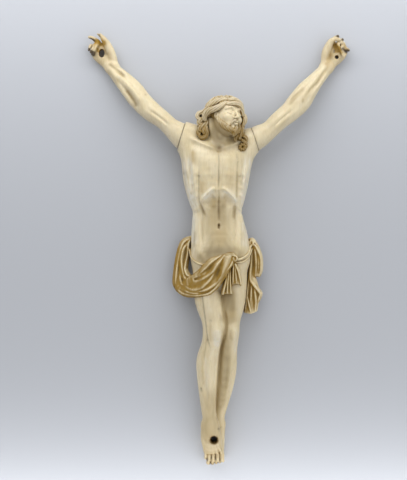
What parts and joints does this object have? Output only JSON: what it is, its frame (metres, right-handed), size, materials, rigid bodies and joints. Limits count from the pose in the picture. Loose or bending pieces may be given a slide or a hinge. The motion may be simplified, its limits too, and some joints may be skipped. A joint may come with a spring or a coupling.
{
  "type": "crucifix corpus figure",
  "caption": "Carved figure from a crucifix, lying on its back: raised arms butted on at the shoulders, long curled hair, a beard and a knotted loincloth with a hanging end.",
  "frame": {"origin": "on the flat seat under the hips, in the plane that the figure lies on", "axes": "+X to the figure's left, +Y up the body from the hips to the crown, +Z out of the chest, away from the surface that the figure lies on"},
  "size_m": [0.2643, 0.4354, 0.053],
  "materials": {
    "ivory": "aged ivory, carved and rubbed to a soft shine, with golden-brown patina in the folds"
  },
  "bodies": {
    "root": {"corpus": "ivory", "right_arm": "ivory", "left_arm": "ivory"}
  },
  "joints": []
}
